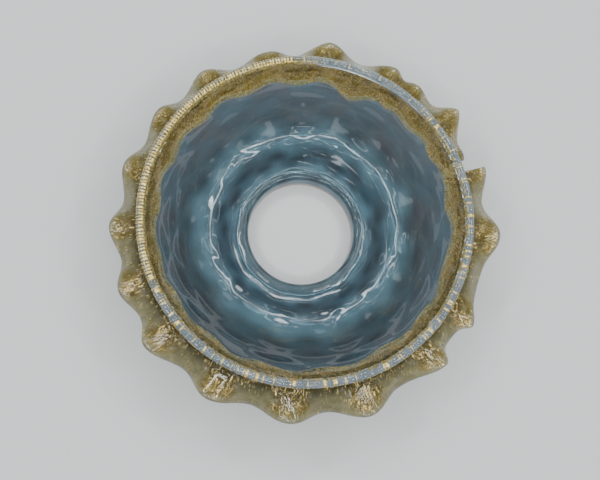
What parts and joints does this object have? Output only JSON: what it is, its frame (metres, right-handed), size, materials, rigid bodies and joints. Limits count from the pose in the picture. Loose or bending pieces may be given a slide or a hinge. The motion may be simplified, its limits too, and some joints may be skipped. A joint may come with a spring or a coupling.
{
  "type": "glass chandelier bell",
  "caption": "Blown clear glass bowl with a cut hole in its neck, a gold-leaf thread round the lip and a pinched amber glass ruffle outside.",
  "frame": {"origin": "centre of the neck's bore, in the plane of its ground edge, on which the bell stands mouth up", "axes": "+Z along the bore, from the neck to the mouth; +X towards the side where the ribbon's two ends meet, 21 degrees short of them"},
  "size_m": [0.183, 0.1816, 0.0521],
  "materials": {
    "clear_glass": "blown, fire polished, with a ground neck edge",
    "thread_glass": "fire polished thread",
    "amber_glass": "tooled, with tong marks",
    "gold_leaf": "crackled leaf"
  },
  "bodies": {
    "root": {"bell_body": "clear_glass", "lip_thread": "thread_glass", "lip_gold_leaf": "gold_leaf", "ruffle_ribbon": "amber_glass", "ruffle_gold_leaf": "gold_leaf"}
  },
  "joints": []
}
